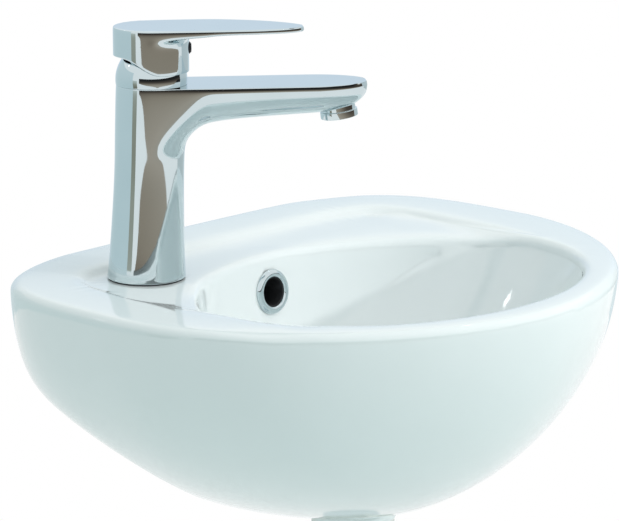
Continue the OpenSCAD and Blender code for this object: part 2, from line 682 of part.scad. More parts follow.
// Turned relief between the nut's thread and the plain tail
tail_relief = 1.5;
tail_top = backnut_top - backnut_h - 0.8 - tail_relief;
module waste_backnut() color(white_plastic) on_waste() difference() {
    translate([0, 0, backnut_top - backnut_h]) cylinder(r = waste_r + 6.7, h = backnut_h, $fn = 6);
    tube(waste_r + 0.05, 0, backnut_top - backnut_h - 1, backnut_top + 1);
}

// Plug: domed cap on a sprung stem, drawn closed
plug_cap_r = waste_bore_r + 5;
plug_z = flange_z + seal_t + 1.7;
module waste_plug() color(chrome) on_waste() rotate_extrude($fn = smooth) polygon(concat(
    [[0, plug_z], [plug_cap_r - 0.8, plug_z], [plug_cap_r, plug_z + 0.8]],
    [for (w = [15 : 15 : 90]) [plug_cap_r * cos(w), plug_z + 0.8 + 4 * sin(w)]]));
module plug_seal() color(black_rubber) on_waste() tube(19, 16, plug_z - 1.5, plug_z - 0.05);
module plug_stem() color(brass) on_waste() {
    tube(stem_r, 0, spider_z + 2 + 0.6, plug_z - 0.05);
    tube(stem_r + 3.4, 0, spider_z + 14 + coil_h, spider_z + 14 + coil_h + 1.4);
}
coil_h = plug_rise + 1;
wire_r = 0.6;
coil_r = 4.6;
module plug_spring() color(steel) on_waste() {
    turns = 5;
    steps = 12;
    pitch = (coil_h - 2 * wire_r - 0.3) / turns;
    rings = [for (i = [0 : turns * steps])
        let (w = 360 * i / steps, z = spider_z + 14 + wire_r + 0.15 + pitch * i / steps)
        [for (j = [0 : 5]) let (v = -60 * j, r = coil_r + wire_r * cos(v))
            [r * cos(w), r * sin(w), z + wire_r * sin(v)]]];
    loft(rings);
}

basin();
overflow_ring();
tap_body();
tap_foot_gasket();
cartridge_housing();
cartridge_foot_seal();
fixed_disc();
moving_disc();
disc_carrier();
cartridge_rotor();
lever_spindle();
spindle_pin();
cartridge_nut();
dome_cap();
lever_handle();
handle_grub_screw();
handle_plug();
aerator_housing();
aerator_insert();
aerator_seal();
mounting_stud();
clamp_rubber();
clamp_plate();
stud_nut();
waste_body();
waste_top_seal();
waste_bottom_seal();
waste_backnut();
waste_plug();
plug_seal();
plug_stem();
plug_spring();
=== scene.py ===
# %% [markdown]
# # A small oval basin with its side-mounted mixer
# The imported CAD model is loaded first, as a fixed frame. Everything that is made below lies on it:
# the white glazed basin, the chrome mixer on the recessed ledge, the overflow ring and the waste.
# Blender works in metres, so `mm` turns the workshop's millimetres into metres.

# %% Load the frame
import bpy, bmesh, math, json
from mathutils import Vector, Matrix


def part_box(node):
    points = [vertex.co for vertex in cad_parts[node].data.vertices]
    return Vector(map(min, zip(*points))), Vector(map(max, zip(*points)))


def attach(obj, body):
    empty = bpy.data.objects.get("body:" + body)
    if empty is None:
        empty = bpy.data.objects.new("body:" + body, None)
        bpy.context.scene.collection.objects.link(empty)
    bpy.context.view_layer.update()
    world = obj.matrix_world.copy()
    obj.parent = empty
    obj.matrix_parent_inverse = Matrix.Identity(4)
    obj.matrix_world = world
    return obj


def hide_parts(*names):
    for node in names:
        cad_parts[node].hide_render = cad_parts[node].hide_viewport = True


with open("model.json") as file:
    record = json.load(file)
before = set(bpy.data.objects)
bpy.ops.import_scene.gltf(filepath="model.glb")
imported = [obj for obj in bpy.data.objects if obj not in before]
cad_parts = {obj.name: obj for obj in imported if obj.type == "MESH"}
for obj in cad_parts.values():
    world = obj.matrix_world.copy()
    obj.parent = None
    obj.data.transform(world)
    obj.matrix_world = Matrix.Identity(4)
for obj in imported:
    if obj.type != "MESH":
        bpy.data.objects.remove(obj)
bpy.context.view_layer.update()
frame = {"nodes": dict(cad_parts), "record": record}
nodes = frame["nodes"]


def mm(*values):
    scaled = [v / 1000 for v in values]
    return scaled[0] if len(scaled) == 1 else tuple(scaled)


# %% [markdown]
# The camera comes before the pieces, because each of them is judged through it. It stands two metres
# away to the front left, about half a metre above the fixings, and looks down by 13.5 degrees with
# a long lens, so that the rim's ellipse and the lever's flat top have the photograph's slimness.

# %% Camera
photo_width, focal_pixels, sensor_width = 619, 2984, 36
eye = Vector(mm(-1389.6, -1400.8, 494.9))
gaze = Vector((0.7165, 0.6573, -0.2336))
bpy.ops.object.camera_add(location=eye, rotation=gaze.to_track_quat("-Z", "Y").to_euler())
camera = bpy.context.object
camera.name = "camera"
camera.data.sensor_width = sensor_width
camera.data.lens = focal_pixels / photo_width * sensor_width
camera.data.clip_end = 40
bpy.context.scene.camera = camera
print("lens", round(camera.data.lens, 1))

# %% [markdown]
# Blender's operators act on whatever is selected. These helpers clear the selection, open a piece in
# edit mode, and pick its corners, edges or faces by place or normal, as one would with the mouse.

# %% Selection helpers
def clear():
    if bpy.context.object and bpy.context.object.mode != "OBJECT":
        bpy.ops.object.mode_set(mode="OBJECT")
    bpy.ops.object.select_all(action="DESELECT")


def only(piece):
    clear()
    piece.select_set(True)
    bpy.context.view_layer.objects.active = piece


def edit(kind):
    bpy.ops.object.mode_set(mode="EDIT")
    bpy.ops.mesh.select_mode(type=kind)


def leave():
    bpy.ops.object.mode_set(mode="OBJECT")


def pick(kind, rule):
    mesh = bpy.context.object.data
    bpy.ops.mesh.select_mode(type=kind)
    bpy.ops.mesh.select_all(action="DESELECT")
    bm = bmesh.from_edit_mesh(mesh)
    found = 0
    for e in {"VERT": bm.verts, "EDGE": bm.edges, "FACE": bm.faces}[kind]:
        if rule(e):
            e.select_set(True)
            found += 1
    bm.select_flush_mode()
    bmesh.update_edit_mesh(mesh)
    return found


# %% [markdown]
# The rules for picking read like a maker's words: an edge's middle, a height between two marks, an
# edge that folds by more than some degrees, and a disc, the only kind of face with many corners.

# %% Rules for picking
def middle(edge):
    return (edge.verts[0].co + edge.verts[1].co) / 2


def between(value, low, high):
    return low - 1e-6 <= value <= high + 1e-6


def folded(edge, degrees):
    return len(edge.link_faces) == 2 and edge.calc_face_angle() > math.radians(degrees)


def is_disc(face):
    return len(face.verts) > 20


# %% [markdown]
# A few moves return in every piece: drag the selection out by an amount, scale it about a point, and
# bake a modifier into the mesh.

# %% Moves
def drag(x=0, y=0, z=0):
    bpy.ops.mesh.extrude_region_move(TRANSFORM_OT_translate={"value": mm(x, y, z)})


def grow(x=1, y=1, z=1, about=(0, 0, 0)):
    bpy.ops.transform.resize(value=(x, y, z), center_override=mm(*about))


def bake(piece, kind, **values):
    only(piece)
    modifier = piece.modifiers.new(kind.lower(), kind)
    for key, value in values.items():
        setattr(modifier, key, value)
    bpy.ops.object.modifier_apply(modifier=modifier.name)


def soften(piece, angle=35):
    only(piece)
    bpy.ops.object.shade_smooth_by_angle(angle=math.radians(angle))


# %% [markdown]
# Round pieces could be cut from cylinders, but a turned outline keeps every bead and radius. It is
# drawn corner by corner from a single point and spun round the axis, like work on a lathe.

# %% Lathe
def lathe(name, outline, steps):
    clear()
    bpy.ops.mesh.primitive_plane_add(size=mm(1), location=mm(outline[0][0], 0, outline[0][1]))
    piece = bpy.context.object
    piece.name = name
    bpy.ops.object.transform_apply(location=True, rotation=True, scale=True)
    edit("VERT")
    bpy.ops.mesh.select_all(action="SELECT")
    bpy.ops.mesh.merge(type="CENTER")
    for here, there in zip(outline, outline[1:]):
        drag(there[0] - here[0], 0, there[1] - here[1])
    bpy.ops.mesh.select_all(action="SELECT")
    bpy.ops.mesh.spin(steps=steps, angle=math.radians(360), center=(0, 0, 0), axis=(0, 0, 1))
    bpy.ops.mesh.select_all(action="SELECT")
    bpy.ops.mesh.remove_doubles(threshold=mm(0.01))
    bpy.ops.mesh.normals_make_consistent(inside=False)
    leave()
    return piece


# %% [markdown]
# Every piece ends in the same two moves. It is carried to its place, which is then applied to its
# mesh, and it gets its finish, the body that it moves with and the CAD nodes that it stands for.

# %% Settling and finishing
def settle(piece, place):
    only(piece)
    piece.matrix_world = place @ piece.matrix_world
    bpy.ops.object.transform_apply(location=True, rotation=True, scale=True)


def finished(piece, material, body, slot, *stands_for):
    piece.data.materials.clear()
    piece.data.materials.append(material)
    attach(piece, body)
    if stands_for:
        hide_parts(*stands_for)
    clear()
    print(piece.name, len(piece.data.polygons), "faces")


# %% [markdown]
# The mixer stands on the ledge at the left, with its spout over the bowl. It could be modelled there,
# but every number is simpler with the spout along X, so it is made straight, then carried to this
# place and turned by 41 degrees. The lever's pivot lies above it, a little forward, since the column
# leans. The overflow and the waste have places of their own.

# %% Places
tap_x, tap_y, ledge_z, tap_turn = -99, -76, 40.3, -41
pivot_x, pivot_z = 4.6, 128
waste_y = -165
overflow_y, overflow_z, overflow_lean = -92.61, 15.3, 6.277
tap_place = (Matrix.Translation(mm(tap_x, tap_y, ledge_z))
             @ Matrix.Rotation(math.radians(tap_turn), 4, "Z"))
pivot_place = tap_place @ Matrix.Translation(mm(pivot_x, 0, pivot_z))
waste_place = Matrix.Translation(mm(0, waste_y, 0))
overflow_place = (Matrix.Translation(mm(0, overflow_y, overflow_z))
                  @ Matrix.Rotation(math.radians(90 - overflow_lean), 4, "X"))
print("pivot at", [round(v, 4) for v in pivot_place.translation])


# %% [markdown]
# Every finish has small differences over its surface, and several finishes share the same ones.
# Such an effect is a shader node group, built once and placed in each material with its own values.
# The helpers below start a group with its inputs and outputs and join its nodes.

# %% Node helpers
def start_group(name, inputs, outputs):
    group = bpy.data.node_groups.new(name, "ShaderNodeTree")
    for label, kind, value in inputs:
        socket = group.interface.new_socket(label, in_out="INPUT", socket_type=kind)
        socket.default_value = value
    for label, kind in outputs:
        group.interface.new_socket(label, in_out="OUTPUT", socket_type=kind)
    return group, group.nodes.new("NodeGroupInput"), group.nodes.new("NodeGroupOutput")


def add(tree, kind, **sockets):
    node = tree.nodes.new("ShaderNode" + kind)
    for label, value in sockets.items():
        node.inputs[label.replace("_", " ")].default_value = value
    return node


def math_node(tree, operation, first, second):
    node = tree.nodes.new("ShaderNodeMath")
    node.operation = operation
    for socket, value in zip(node.inputs, (first, second)):
        if isinstance(value, (int, float)):
            socket.default_value = value
        else:
            tree.links.new(value, socket)
    return node.outputs[0]


def place_group(tree, group, **values):
    node = tree.nodes.new("ShaderNodeGroup")
    node.node_tree = group
    for label, value in values.items():
        node.inputs[label.replace("_", " ")].default_value = value
    return node


# %% [markdown]
# **Cloud**: a slow drift between two values, for a glaze that pools, brass that dulls and plastic
# that cools unevenly. It answers with a number between `Low` and `High`.

# %% Cloud group
cloud, cloud_in, cloud_out = start_group(
    "cloud", [("Size", "NodeSocketFloat", 30.0), ("Low", "NodeSocketFloat", 0.0),
              ("High", "NodeSocketFloat", 1.0)], [("Value", "NodeSocketFloat")])
where = cloud.nodes.new("ShaderNodeTexCoord")
drift = add(cloud, "TexNoise", Detail=3.0, Roughness=0.55)
spread = add(cloud, "MapRange", From_Min=0.3, From_Max=0.7)
cloud.links.new(where.outputs["Object"], drift.inputs["Vector"])
cloud.links.new(cloud_in.outputs["Size"], drift.inputs["Scale"])
cloud.links.new(drift.outputs["Fac"], spread.inputs["Value"])
cloud.links.new(cloud_in.outputs["Low"], spread.inputs["To Min"])
cloud.links.new(cloud_in.outputs["High"], spread.inputs["To Max"])
cloud.links.new(spread.outputs["Result"], cloud_out.inputs["Value"])
print("group", cloud.name)

# %% [markdown]
# **Skin**: the fine relief that a finish keeps however well it is made, such as the slight orange
# peel of a fired glaze or the pores of rubber. It is a noise turned into a bump.

# %% Skin group
skin, skin_in, skin_out = start_group(
    "skin", [("Size", "NodeSocketFloat", 400.0), ("Depth", "NodeSocketFloat", 0.1),
             ("Height", "NodeSocketFloat", 0.0001)], [("Normal", "NodeSocketVector")])
where = skin.nodes.new("ShaderNodeTexCoord")
grain = add(skin, "TexNoise", Detail=2.0, Roughness=0.5)
relief = skin.nodes.new("ShaderNodeBump")
skin.links.new(where.outputs["Object"], grain.inputs["Vector"])
skin.links.new(skin_in.outputs["Size"], grain.inputs["Scale"])
skin.links.new(grain.outputs["Fac"], relief.inputs["Height"])
skin.links.new(skin_in.outputs["Depth"], relief.inputs["Strength"])
skin.links.new(skin_in.outputs["Height"], relief.inputs["Distance"])
skin.links.new(relief.outputs["Normal"], skin_out.inputs["Normal"])
print("group", skin.name)

# %% [markdown]
# **Specks**: scattered small spots, such as the water drops that dried on chrome. A Voronoi pattern
# gives the spots' middles, a threshold keeps them small, and a slow noise leaves out about half.

# %% Specks group
specks, specks_in, specks_out = start_group(
    "specks", [("Size", "NodeSocketFloat", 120.0), ("Radius", "NodeSocketFloat", 0.12)],
    [("Mask", "NodeSocketFloat")])
where = specks.nodes.new("ShaderNodeTexCoord")
drops = specks.nodes.new("ShaderNodeTexVoronoi")
few = add(specks, "TexNoise", Scale=22.0)
specks.links.new(where.outputs["Object"], drops.inputs["Vector"])
specks.links.new(where.outputs["Object"], few.inputs["Vector"])
specks.links.new(specks_in.outputs["Size"], drops.inputs["Scale"])
near = math_node(specks, "LESS_THAN", drops.outputs["Distance"], specks_in.outputs["Radius"])
chosen = math_node(specks, "GREATER_THAN", few.outputs["Fac"], 0.52)
specks.links.new(math_node(specks, "MULTIPLY", near, chosen), specks_out.inputs["Mask"])
print("group", specks.name)

# %% [markdown]
# **Brushing**: fine straight marks from a polishing wheel or a lathe tool. Noise is stretched along
# one direction, and both the sheen and the relief come from it.

# %% Brushing group
brushing, brushing_in, brushing_out = start_group(
    "brushing", [("Stretch", "NodeSocketVector", (600.0, 600.0, 20.0)),
                 ("Low", "NodeSocketFloat", 0.2), ("High", "NodeSocketFloat", 0.4),
                 ("Depth", "NodeSocketFloat", 0.05)],
    [("Roughness", "NodeSocketFloat"), ("Normal", "NodeSocketVector")])
where = brushing.nodes.new("ShaderNodeTexCoord")
pull = brushing.nodes.new("ShaderNodeVectorMath")
pull.operation = "MULTIPLY"
marks = add(brushing, "TexNoise", Scale=1.0, Detail=2.0)
sheen = brushing.nodes.new("ShaderNodeMapRange")
relief = add(brushing, "Bump", Distance=0.0001)
brushing.links.new(where.outputs["Object"], pull.inputs[0])
brushing.links.new(brushing_in.outputs["Stretch"], pull.inputs[1])
brushing.links.new(pull.outputs["Vector"], marks.inputs["Vector"])
brushing.links.new(marks.outputs["Fac"], sheen.inputs["Value"])
brushing.links.new(brushing_in.outputs["Low"], sheen.inputs["To Min"])
brushing.links.new(brushing_in.outputs["High"], sheen.inputs["To Max"])
brushing.links.new(marks.outputs["Fac"], relief.inputs["Height"])
brushing.links.new(brushing_in.outputs["Depth"], relief.inputs["Strength"])
brushing.links.new(sheen.outputs["Result"], brushing_out.inputs["Roughness"])
brushing.links.new(relief.outputs["Normal"], brushing_out.inputs["Normal"])
print("group", brushing.name)


# %% [markdown]
# A finish starts from the Principled shader with its plain values. `tint` lets a group's number blend
# two colours into the base colour, and `paint_over` lays one more colour where a mask is 1.

# %% Finish helpers
def finish(name, colour, roughness, metallic=0.0, **more):
    material = bpy.data.materials.new(name)
    material.use_nodes = True
    shader = material.node_tree.nodes["Principled BSDF"]
    shader.inputs["Base Color"].default_value = (*colour, 1)
    shader.inputs["Roughness"].default_value = roughness
    shader.inputs["Metallic"].default_value = metallic
    for label, value in more.items():
        shader.inputs[label.replace("_", " ")].default_value = value
    print("finish", name)
    return material, material.node_tree, shader


def tint(tree, shader, mask, low, high):
    mix = tree.nodes.new("ShaderNodeMix")
    mix.data_type = "RGBA"
    mix.inputs["A"].default_value = (*low, 1)
    mix.inputs["B"].default_value = (*high, 1)
    tree.links.new(mask, mix.inputs["Factor"])
    tree.links.new(mix.outputs["Result"], shader.inputs["Base Color"])
    return mix.outputs["Result"]


def paint_over(tree, under, mask, colour):
    mix = tree.nodes.new("ShaderNodeMix")
    mix.data_type = "RGBA"
    mix.inputs["B"].default_value = (*colour, 1)
    tree.links.new(mask, mix.inputs["Factor"])
    tree.links.new(under, mix.inputs["A"])
    return mix.outputs["Result"]


# %% [markdown]
# **White glaze**. Sanitary ware is fired clay under about a millimetre of glass-like glaze. It is
# never quite one white: the glaze pools and thins by a hair, and its face has a very slow orange
# peel. It could be one glossy white, but a clear coat over the base gives the depth of glass on clay.

# %% White glaze
white_glaze, tree, shader = finish("white_glaze", (0.85, 0.885, 0.888), 0.06, IOR=1.52,
                                   Coat_Weight=0.6, Coat_Roughness=0.02)
pool = place_group(tree, cloud, Size=9.0, Low=0.0, High=1.0)
glazed = tint(tree, shader, pool.outputs[0], (0.84, 0.878, 0.88), (0.865, 0.9, 0.905))
peel = place_group(tree, skin, Size=70.0, Depth=0.12, Height=0.0004)
tree.links.new(peel.outputs[0], shader.inputs["Normal"])

# %% [markdown]
# The back that bears on the wall stays unglazed. Hardly any light gets into the overflow's duct, so its
# shade is painted there as near black. They could be faces with finishes of their own. Masks by place,
# in metres, need no cut in the mesh.

# %% Bare back and painted shade in the duct
clay, painted_duct_shade = (0.62, 0.58, 0.52), (0.015, 0.015, 0.018)
wall_face, duct_half_width = -0.0006, 0.0145
duct_front, duct_rear, duct_low, duct_high = -0.0862, -0.0675, 0.004, 0.0275
place = tree.nodes.new("ShaderNodeTexCoord")
axes = tree.nodes.new("ShaderNodeSeparateXYZ")
tree.links.new(place.outputs["Object"], axes.inputs[0])


def inside(axis, low, high):
    above = math_node(tree, "GREATER_THAN", axes.outputs[axis], low)
    return math_node(tree, "MULTIPLY", above, math_node(tree, "LESS_THAN", axes.outputs[axis], high))


back = math_node(tree, "GREATER_THAN", axes.outputs["Y"], wall_face)
duct = math_node(tree, "MULTIPLY", inside("X", -duct_half_width, duct_half_width),
                 math_node(tree, "MULTIPLY", inside("Y", duct_front, duct_rear),
                           inside("Z", duct_low, duct_high)))
# The duct's near black is painted shade, laid over the glaze and the bare clay.
colour = paint_over(tree, paint_over(tree, glazed, back, clay), duct, painted_duct_shade)
tree.links.new(colour, shader.inputs["Base Color"])
gloss = place_group(tree, cloud, Size=14.0, Low=0.045, High=0.085)
dull = math_node(tree, "MULTIPLY", math_node(tree, "MAXIMUM", back, duct), 0.6)
tree.links.new(math_node(tree, "ADD", gloss.outputs[0], dull), shader.inputs["Roughness"])
print("glaze nodes", len(tree.nodes))

# %% [markdown]
# **Bright chrome**. Electroplated chrome is a cool mirror: it takes nearly all its look from what
# stands round it. A grey paint could stand in for it, but only a metal mirrors the studio's boards.
# It keeps faint wiping marks and a few dried drops, which only show in its gloss.

# %% Bright chrome
bright_chrome, tree, shader = finish("bright_chrome", (0.61, 0.70, 0.725), 0.03, metallic=1.0)
tone = place_group(tree, cloud, Size=25.0, Low=0.0, High=1.0)
tint(tree, shader, tone.outputs[0], (0.595, 0.685, 0.71), (0.63, 0.715, 0.74))
wipe = place_group(tree, brushing, Stretch=(300, 300, 60), Low=0.02, High=0.05, Depth=0.01)
drops = place_group(tree, specks, Size=260.0, Radius=0.10)
spots = math_node(tree, "MULTIPLY", drops.outputs[0], 0.05)
tree.links.new(math_node(tree, "ADD", wipe.outputs["Roughness"], spots), shader.inputs["Roughness"])
tree.links.new(wipe.outputs["Normal"], shader.inputs["Normal"])

# %% [markdown]
# ** Black rubber** for the foot gasket, the seals and the overflow's sleeve, where its black is also
# painted shade for the inside of the hole: dull, nearly black, with a bloom of grey dust and fine pores.
# One flat black would look like a hole, so its colour and its sheen both drift.

# %% Black rubber
black_rubber, tree, shader = finish("black_rubber", (0.02, 0.02, 0.022), 0.55)
bloom = place_group(tree, cloud, Size=60.0, Low=0.0, High=1.0)
tint(tree, shader, bloom.outputs[0], (0.012, 0.012, 0.014), (0.035, 0.035, 0.038))
matt = place_group(tree, cloud, Size=180.0, Low=0.45, High=0.7)
tree.links.new(matt.outputs[0], shader.inputs["Roughness"])
pores = place_group(tree, skin, Size=1500.0, Depth=0.25, Height=0.0001)
tree.links.new(pores.outputs[0], shader.inputs["Normal"])

# %% [markdown]
# **Brass** is left bare where no one sees it: on the nuts, the spindle and the plug's stem. It is
# turned on a lathe, so it has fine tool marks, and it browns a little in patches. The marks come from
# the same group as the chrome's, stretched the other way.

# %% Brass
raw_brass, tree, shader = finish("raw_brass", (0.72, 0.52, 0.24), 0.3, metallic=1.0)
tarnish = place_group(tree, cloud, Size=45.0, Low=0.0, High=1.0)
tint(tree, shader, tarnish.outputs[0], (0.76, 0.57, 0.29), (0.52, 0.36, 0.17))
turned = place_group(tree, brushing, Stretch=(40, 40, 2500), Low=0.22, High=0.4, Depth=0.12)
tree.links.new(turned.outputs["Roughness"], shader.inputs["Roughness"])
tree.links.new(turned.outputs["Normal"], shader.inputs["Normal"])

# %% [markdown]
# **Steel** of the mounting stud, its plate, the pin and the spring: zinc-plated, greyer and duller
# than chrome, with cloudy crystals in the plating. A picture of zinc could give them, but a cloud of
# small size does it without a file.

# %% Plated steel
plated_steel, tree, shader = finish("plated_steel", (0.52, 0.53, 0.55), 0.32, metallic=1.0)
crystals = place_group(tree, cloud, Size=160.0, Low=0.0, High=1.0)
tint(tree, shader, crystals.outputs[0], (0.46, 0.47, 0.49), (0.6, 0.61, 0.62))
drawn = place_group(tree, brushing, Stretch=(900, 900, 300), Low=0.25, High=0.42, Depth=0.1)
tree.links.new(drawn.outputs["Roughness"], shader.inputs["Roughness"])
tree.links.new(drawn.outputs["Normal"], shader.inputs["Normal"])


# %% [markdown]
# The cartridge's **plastics** and its **ceramic discs** are moulded or pressed: a soft sheen with a
# faint grain. One recipe with other colours serves for all three.

# %% Moulded finishes
def moulded(name, pale, deep, smooth_at, rough_at, grain_size):
    material, tree, shader = finish(name, pale, smooth_at)
    flow = place_group(tree, cloud, Size=35.0, Low=0.0, High=1.0)
    tint(tree, shader, flow.outputs[0], pale, deep)
    gloss = place_group(tree, cloud, Size=90.0, Low=smooth_at, High=rough_at)
    tree.links.new(gloss.outputs[0], shader.inputs["Roughness"])
    grain = place_group(tree, skin, Size=grain_size, Depth=0.15, Height=0.0001)
    tree.links.new(grain.outputs[0], shader.inputs["Normal"])
    return material


white_acetal = moulded("white_acetal", (0.80, 0.80, 0.77), (0.73, 0.73, 0.70), 0.3, 0.42, 1200.0)
grey_acetal = moulded("grey_acetal", (0.30, 0.31, 0.33), (0.22, 0.23, 0.25), 0.28, 0.42, 1200.0)
disc_white = moulded("disc_white", (0.88, 0.85, 0.77), (0.83, 0.80, 0.72), 0.12, 0.2, 2500.0)
finishes = {"china": white_glaze, "chrome": bright_chrome, "rubber": black_rubber,
            "brass": raw_brass, "steel": plated_steel, "white_plastic": white_acetal,
            "grey_plastic": grey_acetal, "disc_ceramic": disc_white}
print("finishes", len(finishes))

# %% [markdown]
# ## The basin
# The real basin is cast: liquid clay sets against a plaster mould, is dried, glazed and fired, so that
# no edge of it is sharp. Its solid is exact in size but made of flat facets. One way is to model the
# bowl again. The way chosen keeps every size: a copy of the solid has its triangles joined and
# paired into quads, and the edges that are meant to stay get a crease. On the open glaze, above the
# outer side and away from the wall and the tap hole, no edge stays.

# %% Basin shell
clear()
basin = bpy.data.objects.new("basin_shell", nodes["basin"].data.copy())
bpy.context.scene.collection.objects.link(basin)
only(basin)
edit("EDGE")
bpy.ops.mesh.select_all(action="SELECT")
bpy.ops.mesh.remove_doubles(threshold=mm(0.005))
bpy.ops.mesh.tris_convert_to_quads(face_threshold=math.radians(40), shape_threshold=math.radians(60))
kept_fold = 34
glaze_low, wall_strip, hole_margin = 26, -12, 22
tap_hole = Vector(mm(tap_x, tap_y, 40))


def on_open_glaze(point):
    off_hole = (point - tap_hole).length > mm(hole_margin)
    return point.z > mm(glaze_low) and point.y < mm(wall_strip) and off_hole


creased = pick("EDGE", lambda e: folded(e, kept_fold) and not on_open_glaze(middle(e)))
bpy.ops.transform.edge_crease(value=1)
print("creased edges", creased)

# %% [markdown]
# Glaze runs before it sets, and rounds the step behind the ledge and the bowl's edge more than the
# mould did. Smoothing the corners there, before the subdivision, does the same. Each area is given
# by its heights and by the share of the bowl's ellipse: 1 at the bowl's edge, more outside it.

# %% Areas to soften
bowl_middle = Vector(mm(0, -197, 0))
bowl_half_x, bowl_half_y = 157, 108


def bowl_share(point):
    off = point - bowl_middle
    return math.hypot(off.x / mm(bowl_half_x), off.y / mm(bowl_half_y))


def ledge_and_step(point):
    step = mm(-75) < point.y < mm(wall_strip) and abs(point.x) < mm(160)
    ledge = mm(-150) < point.y < mm(-50) and abs(point.x) < mm(165) and bowl_share(point) > 1.12
    return point.z > mm(38) and (point - tap_hole).length > mm(26) and (step or ledge)


def edge_by_mixer(point):
    edge = mm(-250) < point.y < mm(-110) and 0.86 < bowl_share(point) < 1.12
    return point.z > mm(24) and point.x < mm(-100) and edge


def edge_at_far_corner(point):
    edge = mm(-175) < point.y < mm(-80) and 0.9 < bowl_share(point) < 1.2
    return point.z > mm(30) and mm(25) < point.x < mm(165) and edge


# %% [markdown]
# After the smoothing, two levels of subdivision round everything between the creases.

# %% Softened and subdivided glaze
for area, factor, repeat in ((ledge_and_step, 0.4, 1), (edge_by_mixer, 0.5, 5),
                             (edge_at_far_corner, 0.5, 3)):
    print(area.__name__, pick("VERT", lambda v: area(v.co)), "corners")
    bpy.ops.mesh.vertices_smooth(factor=factor, repeat=repeat)
leave()
bake(basin, "SUBSURF", levels=2, render_levels=2)
soften(basin, 40)
finished(basin, white_glaze, "fixed", "china", "basin")

# %% [markdown]
# ## The mixer's body
# The body is a brass casting, polished and plated: a column with a slight waist, and a flat-topped
# spout that sweeps out of it. A turned column and a drawn tube would leave a seam where they meet,
# and chrome shows it, so both are one mesh. It starts as a circle of 24 corners, which is drawn up
# ring by ring. Subdivision shrinks such a circle by about one part in a hundred, so it starts that
# much larger.

# %% Mixer column
corners, round_off = 24, 1.0115
corner_turn = math.radians(360 / corners)


def start_ring(name, radius, height):
    clear()
    bpy.ops.mesh.primitive_circle_add(vertices=corners, radius=mm(radius * round_off),
                                      fill_type="NGON", location=mm(0, 0, height))
    piece = bpy.context.object
    piece.name = name
    bpy.ops.object.transform_apply(location=True, rotation=True, scale=True)
    edit("FACE")
    bpy.ops.mesh.select_all(action="SELECT")
    return piece


body_top, crown_r = 125, 22.5
lean = pivot_x / body_top
column = [(1.1, 25.0), (3, 24.9), (9, 24.4), (18, 23.8), (32, 23.1), (48, 22.5), (64, 22.05),
          (79, 21.95), (89, 22.2), (body_top, crown_r)]
tap = start_ring("mixer_body", column[0][1], column[0][0])
for (z0, r0), (z1, r1) in zip(column, column[1:]):
    drag((z1 - z0) * lean, 0, z1 - z0)
    grow(r1 / r0, r1 / r0, 1, about=(z1 * lean, 0, z1))
print("column", len(column), "rings of", corners, "corners")

# %% [markdown]
# The spout grows out of the front faces of the column's top band. They are pulled out, flattened at
# 34 mm from the column's middle, and the lower corners are moved to an arch, which gives the
# underside. Then the end is pulled on from station to station, each with its distance, its half
# width and its depth.

# %% Spout
arch = [(0, 6.0), (1, 11.4), (2, 17.0), (3, 21.6), (4, 24.9), (5, 26.3), (6, 26.6)]
stations = [(34, 22.7, 26.4), (44, 22.7, 24.0), (60, 22.7, 22.3), (85, 22.7, 20.8), (104.7, 22.7, 19.9),
            (112, 22.3, 19.4), (120, 20.9, 18.6), (128, 17.9, 16.8), (134.5, 13.6, 13.8),
            (138.8, 8.9, 10.2), (140.7, 4.4, 7.0)]
spout_start, spout_tip, band_low = stations[0][0], stations[-1][0], column[-2][0]


def at_start(v):
    return abs(v.co.x - mm(spout_start)) < 1e-5


pick("FACE", lambda f: f.normal.x > 0.05 and between(f.calc_center_median().z, mm(100), mm(115)))
drag(spout_start - pivot_x, 0, 0)
grow(0, 1, 1, about=(spout_start, 0, 0))
for step, deep in arch:
    y = crown_r * round_off * math.cos(corner_turn * step)
    pick("VERT", lambda v: at_start(v) and abs(abs(v.co.y) - mm(y)) < mm(0.6) and v.co.z < mm(100))
    bpy.ops.transform.translate(value=mm(0, 0, body_top - deep - band_low))
pick("FACE", lambda f: all(at_start(v) for v in f.verts))
for (x0, w0, d0), (x1, w1, d1) in zip(stations, stations[1:]):
    drag(x1 - x0, 0, 0)
    grow(1, w1 / w0, d1 / d0, about=(x1, 0, body_top))
leave()
print("spout", len(tap.data.vertices), "corners")

# %% [markdown]
# Polishing leaves a shoulder: the sides turn in a little near the top, and only then comes the
# crisp edge of the flat top. The top is inset, and the corners left outside it are lowered. At the
# tip, where the corners crowd, the inner ones are welded.

# %% Polished shoulder
def shoulder(top, inward, down, tip, slack=0.2):
    pick("FACE", lambda f: f.normal.z > 0.95 and f.calc_center_median().z > mm(top - slack))
    bpy.ops.mesh.inset(thickness=mm(inward), depth=0, use_even_offset=True)
    pick("VERT", lambda v: v.co.x > mm(tip - 0.9) and v.co.z > mm(top - slack)
         and all(f.normal.z > 0.5 for f in v.link_faces))
    bpy.ops.mesh.remove_doubles(threshold=mm(0.45))
    lowered = pick("VERT", lambda v: v.co.z > mm(top - slack)
                   and any(abs(f.normal.z) < 0.5 for f in v.link_faces))
    bpy.ops.transform.translate(value=mm(0, 0, -down))
    print("shoulder of", lowered, "corners")


only(tap)
edit("FACE")
shoulder(body_top, 0.4, 2.4, spout_tip)

# %% [markdown]
# A well for the cartridge is sunk into the top, and the foot gets a shallow recess that hides its
# gasket, with a hollow above it. The crisp edges get a crease, and the rest is rounded.

